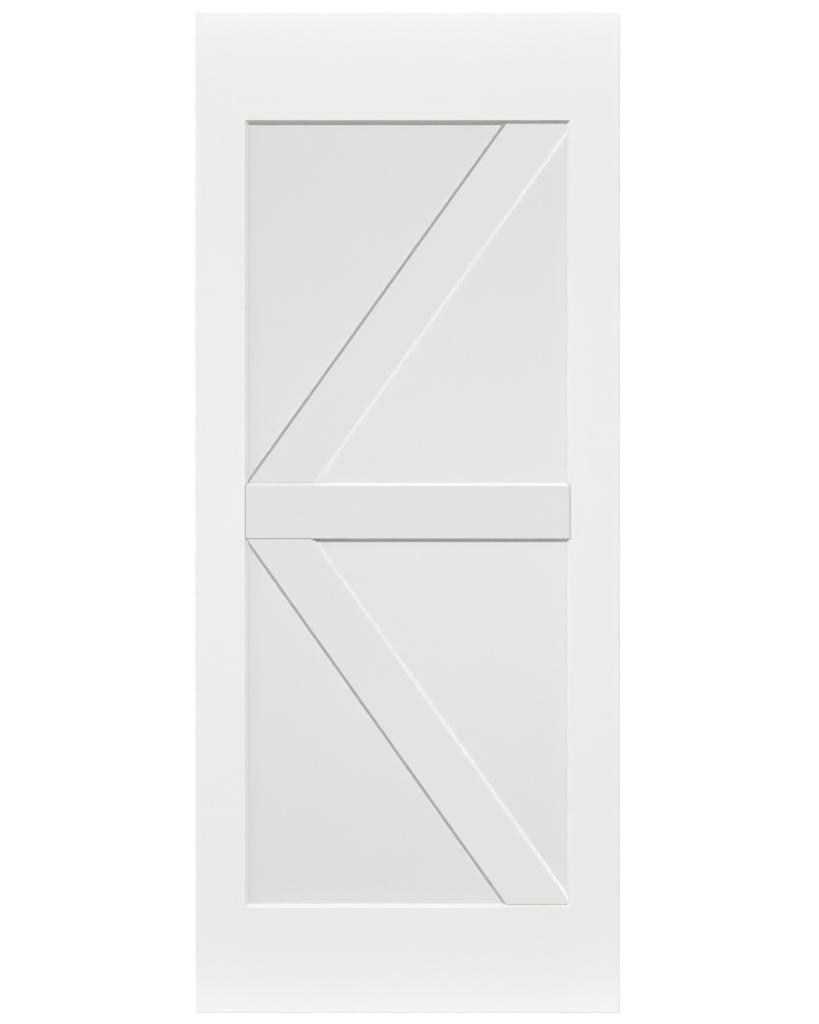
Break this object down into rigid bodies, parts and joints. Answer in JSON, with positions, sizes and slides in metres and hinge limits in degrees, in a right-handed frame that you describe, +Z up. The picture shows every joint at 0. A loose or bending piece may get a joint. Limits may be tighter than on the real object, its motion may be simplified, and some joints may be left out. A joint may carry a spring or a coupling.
{
  "type": "sliding barn door slab",
  "caption": "White painted sliding door slab with stiles, rails, recessed panels, bevelled diagonal braces in a K and a slot along its foot for a floor guide",
  "frame": {"origin": "middle of the slab's width and thickness, at its foot", "axes": "+X to the right seen from the front, -Y out of the front face, +Z up"},
  "size_m": [0.906, 0.035, 2.134],
  "materials": {
    "frame_paint": "satin white paint on fibreboard",
    "infill_paint": "satin white paint on fibreboard, a shade greyer",
    "dowel_beech": "plain beech"
  },
  "bodies": {
    "root": {"left_stile": "frame_paint", "right_stile": "frame_paint", "top_rail": "frame_paint", "bottom_rail": "frame_paint", "mid_rail": "infill_paint", "upper_panel": "infill_paint", "lower_panel": "infill_paint", "front_upper_brace": "infill_paint", "front_lower_brace": "infill_paint", "rear_upper_brace": "infill_paint", "rear_lower_brace": "infill_paint", "top_rail_dowels": "dowel_beech", "mid_rail_dowels": "dowel_beech", "bottom_rail_dowels": "dowel_beech"}
  },
  "joints": []
}
